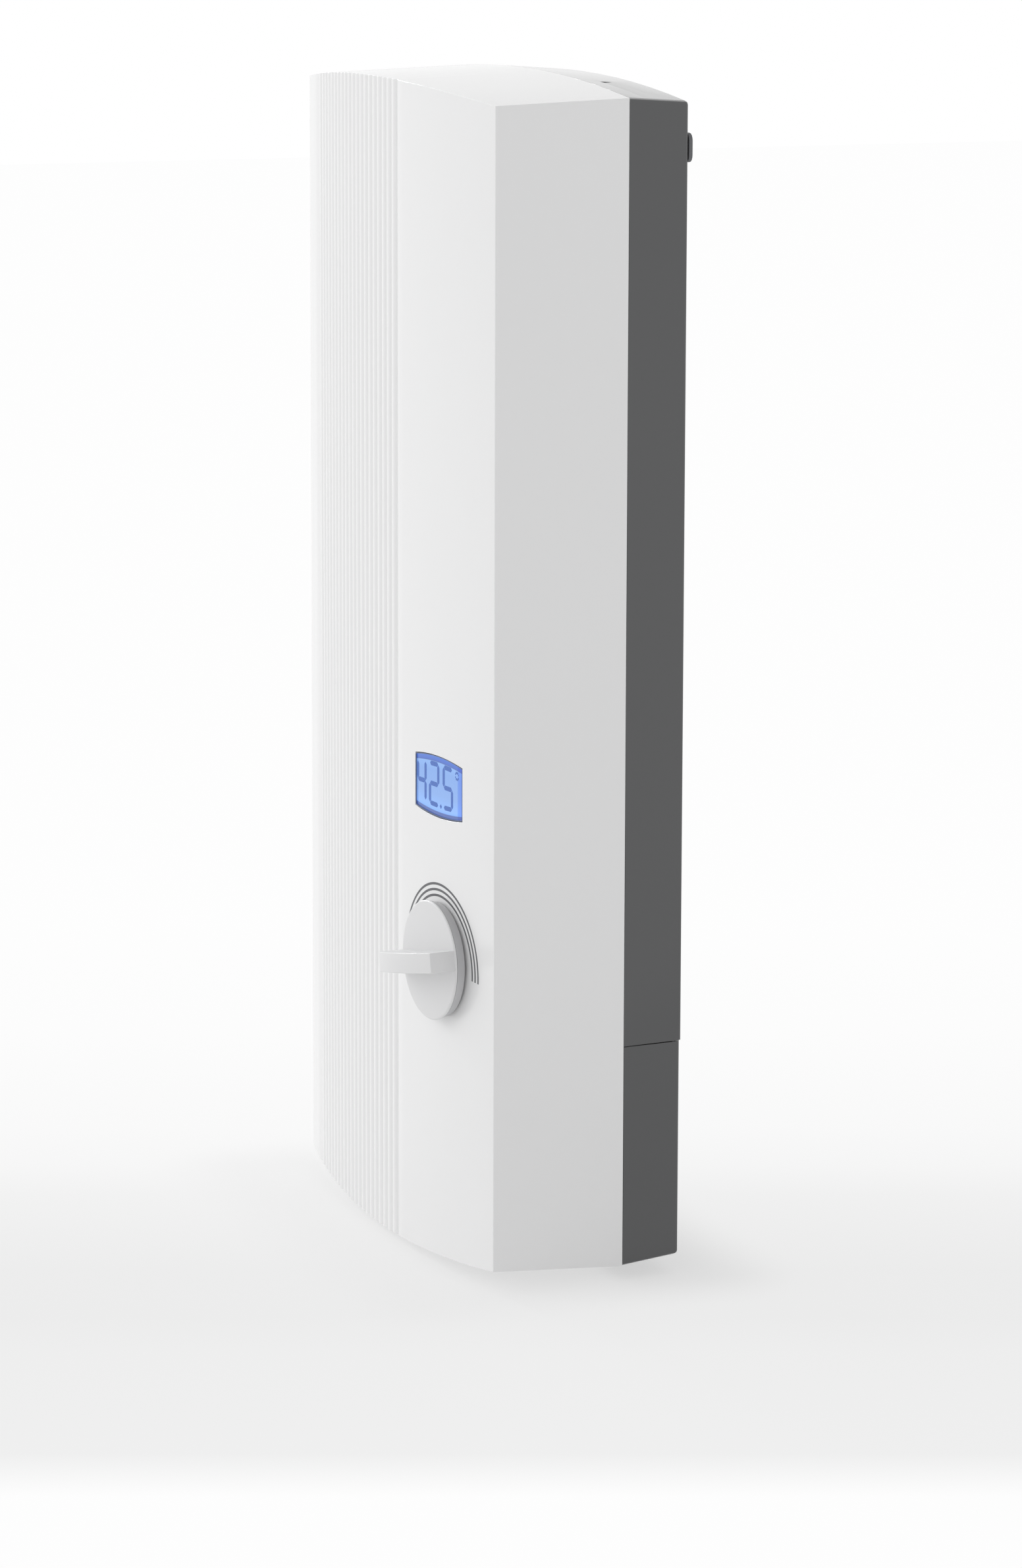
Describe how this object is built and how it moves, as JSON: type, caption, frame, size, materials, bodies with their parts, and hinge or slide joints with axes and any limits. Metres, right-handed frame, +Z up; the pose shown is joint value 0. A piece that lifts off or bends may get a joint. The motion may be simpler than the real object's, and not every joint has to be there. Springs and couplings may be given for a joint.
{
  "type": "tankless water heater",
  "caption": "Wall-hung tankless water heater: bowed white cover with upright flutes, lit display and bar knob, on a dark tapered back that holds its heater block and pipework.",
  "frame": {"origin": "middle of the wall bracket's rear face, on the wall plane", "axes": "+Z up, +X to the right of someone who faces the heater, -Y out of the wall"},
  "size_m": [0.225, 0.1087, 0.478],
  "materials": {
    "cover_white": "smooth gloss moulding",
    "knob_white": "satin gloss moulding",
    "back_grey": "fine matt moulding",
    "bracket_grey": "satin paint",
    "display_rim": "satin",
    "display_glass": "clear, lit from behind",
    "display_unit": "moulded holder round a lit panel",
    "circuit_board": "green solder mask",
    "natural_nylon": "glass-filled moulding",
    "black_plastic": "moulded",
    "blue_plastic": "moulded",
    "red_plastic": "moulded",
    "brass": "turned",
    "copper": "drawn copper tube",
    "plated_steel": "zinc plated",
    "rubber": "matt",
    "lead_insulation": "flexible insulation"
  },
  "bodies": {
    "chassis": {"back_panel": "back_grey", "block_screw_1": "plated_steel", "block_screw_2": "plated_steel", "block_screw_3": "plated_steel", "block_screw_4": "plated_steel", "cable_grommet": "rubber", "cold_gasket": "rubber", "cold_pipe": "copper", "cold_union_nut": "brass", "flow_sensor_body": "black_plastic", "heater_block_front": "natural_nylon", "heater_block_rear": "natural_nylon", "heating_coil_1": "plated_steel", "heating_coil_2": "plated_steel", "heating_coil_3": "plated_steel", "hot_gasket": "rubber", "hot_pipe": "copper", "hot_union_nut": "brass", "inlet_strainer": "plated_steel", "inlet_valve_body": "brass", "lower_back_panel": "back_grey", "mains_terminal_block": "natural_nylon", "outlet_fitting": "brass", "outlet_temperature_sensor": "black_plastic", "phase_lead_1": "lead_insulation", "phase_lead_2": "lead_insulation", "phase_lead_3": "lead_insulation", "phase_terminal_1": "brass", "phase_terminal_2": "brass", "phase_terminal_3": "brass", "power_board": "circuit_board", "pressure_cutout": "black_plastic", "rotor_bearing": "natural_nylon", "safety_relay": "blue_plastic", "spacer_pad_left": "rubber", "spacer_pad_right": "rubber", "terminal_screw_1": "plated_steel", "terminal_screw_2": "plated_steel", "terminal_screw_3": "plated_steel", "terminal_screw_4": "plated_steel", "thermal_cutout": "black_plastic", "triac_1": "black_plastic", "triac_2": "black_plastic", "triac_3": "black_plastic", "wall_bracket": "bracket_grey"},
    "cover": {"cover": "cover_white", "cover_screw": "plated_steel", "cover_screw_nut": "plated_steel", "display_frame": "display_rim", "display_window": "display_glass", "display_module": "display_unit", "control_board": "circuit_board", "potentiometer": "blue_plastic"},
    "knob": {"temperature_knob": "knob_white", "knob_shaft": "plated_steel"},
    "shutoff": {"shutoff_spindle": "plated_steel"},
    "turbine": {"turbine_rotor": "blue_plastic"},
    "reset": {"reset_button": "red_plastic"}
  },
  "joints": [
    {"name": "cover_swing", "type": "hinge", "parent": "chassis", "child": "cover", "pos_m": [0, -0.02845, 0.026], "axis": [-1, 0, 0], "range_deg": [0, 60]},
    {"name": "knob_turn", "type": "hinge", "parent": "cover", "child": "knob", "pos_m": [0.06747, -0.08932, -0.3246], "axis": [0.1073, -0.9942, 0], "range_deg": [-118, 152]},
    {"name": "shutoff_turn", "type": "hinge", "parent": "chassis", "child": "shutoff", "pos_m": [0.05, -0.03315, -0.395], "axis": [0, -1, 0], "range_deg": [-90, 0]},
    {"name": "turbine_spin", "type": "hinge", "parent": "chassis", "child": "turbine", "pos_m": [0.05, -0.03315, -0.35], "axis": [0, 0, 1], "continuous": true},
    {"name": "reset_press", "type": "slide", "parent": "chassis", "child": "reset", "axis": [0, 1, 0], "range_m": [0, 0.0025], "stiffness_N_per_m": 300}
  ]
}
